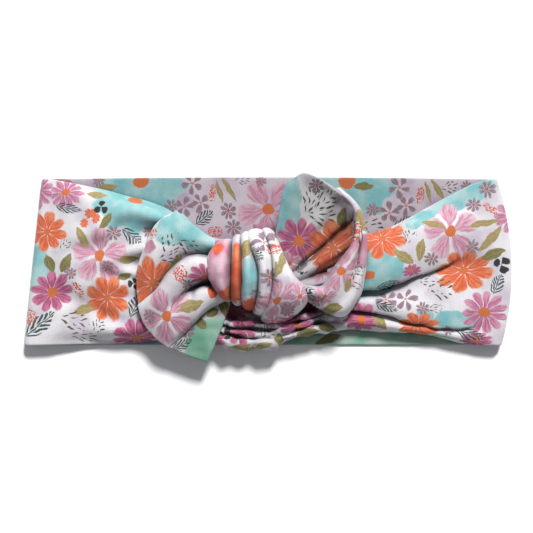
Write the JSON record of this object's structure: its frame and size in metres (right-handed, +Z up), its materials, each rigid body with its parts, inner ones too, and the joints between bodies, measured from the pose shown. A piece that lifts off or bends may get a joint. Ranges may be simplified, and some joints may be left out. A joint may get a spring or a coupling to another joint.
{
  "type": "knotted headband",
  "caption": "Soft floral jersey headband, lying flat, with a tied knot and two wide tails at the front.",
  "frame": {"origin": "on the table, under the middle of the flat headband", "axes": "+X along the band towards its right fold, +Y towards its upper edge as worn, +Z up from the table through the knot"},
  "size_m": [0.2446, 0.0936, 0.032],
  "materials": {
    "print": "brushed jersey with a printed floral pattern",
    "print_inside": "brushed jersey, inner ply of the tube",
    "print_tie": "brushed jersey with a printed floral pattern",
    "seam_cloth": "brushed jersey, sewn edge"
  },
  "bodies": {
    "back_middle": {"back_middle_outer_ply": "print", "back_middle_inner_ply": "print_inside", "back_middle_long_seam": "seam_cloth"},
    "back_left": {"back_left_outer_ply": "print", "back_left_inner_ply": "print_inside", "back_left_long_seam": "seam_cloth", "left_fold_outer_ply": "print", "left_fold_inner_ply": "print_inside"},
    "back_right": {"back_right_outer_ply": "print", "back_right_inner_ply": "print_inside", "back_right_long_seam": "seam_cloth", "right_fold_outer_ply": "print", "right_fold_inner_ply": "print_inside"},
    "front_left": {"front_left_outer_ply": "print", "front_left_inner_ply": "print_inside", "front_left_long_seam": "seam_cloth"},
    "front_right": {"front_right_outer_ply": "print", "front_right_inner_ply": "print_inside", "front_right_long_seam": "seam_cloth"},
    "knot": {"crossing_upper_strand": "print", "crossing_lower_strand": "print", "knot_core": "print_tie", "knot_wrap": "print_tie"},
    "left_tail": {"left_tail_blade": "print_tie", "left_tail_rolled_edge": "print_tie"},
    "right_tail": {"right_tail_blade": "print_tie", "right_tail_rolled_edge": "print_tie"}
  },
  "joints": [
    {"name": "loop_open", "type": "hinge", "parent": "back_middle", "child": "back_left", "pos_m": [-0.034, 0, 0.00085], "axis": [0, 1, 0], "range_deg": [0, 45]},
    {"name": "left_fold", "type": "hinge", "parent": "back_left", "child": "front_left", "pos_m": [-0.1203, 0, 0.004], "axis": [0, 1, 0], "range_deg": [-90, 0], "deforming": ["left_fold_outer_ply", "left_fold_inner_ply"]},
    {"name": "front_left_bend", "type": "hinge", "parent": "front_left", "child": "knot", "pos_m": [-0.034, 0, 0.00715], "axis": [0, 1, 0], "range_deg": [0, 45]},
    {"name": "back_right_bend", "type": "hinge", "parent": "back_middle", "child": "back_right", "pos_m": [0.034, 0, 0.00085], "axis": [0, 1, 0], "range_deg": [-45, 0]},
    {"name": "right_fold", "type": "hinge", "parent": "back_right", "child": "front_right", "pos_m": [0.1203, 0, 0.004], "axis": [0, 1, 0], "range_deg": [0, 90], "deforming": ["right_fold_outer_ply", "right_fold_inner_ply"]},
    {"name": "left_tail_lift", "type": "hinge", "parent": "knot", "child": "left_tail", "pos_m": [-0.033, 0, 0.0138], "axis": [0, 1, 0], "range_deg": [0, 60]},
    {"name": "right_tail_lift", "type": "hinge", "parent": "knot", "child": "right_tail", "pos_m": [0.0111, 0, 0.017], "axis": [0.4472, -0.8944, 0], "range_deg": [0, 50]}
  ],
  "couplings": [
    {"joint": "left_fold", "follows": "loop_open", "ratio": -2},
    {"joint": "front_left_bend", "follows": "loop_open", "ratio": 1},
    {"joint": "back_right_bend", "follows": "loop_open", "ratio": -1},
    {"joint": "right_fold", "follows": "loop_open", "ratio": 2}
  ]
}
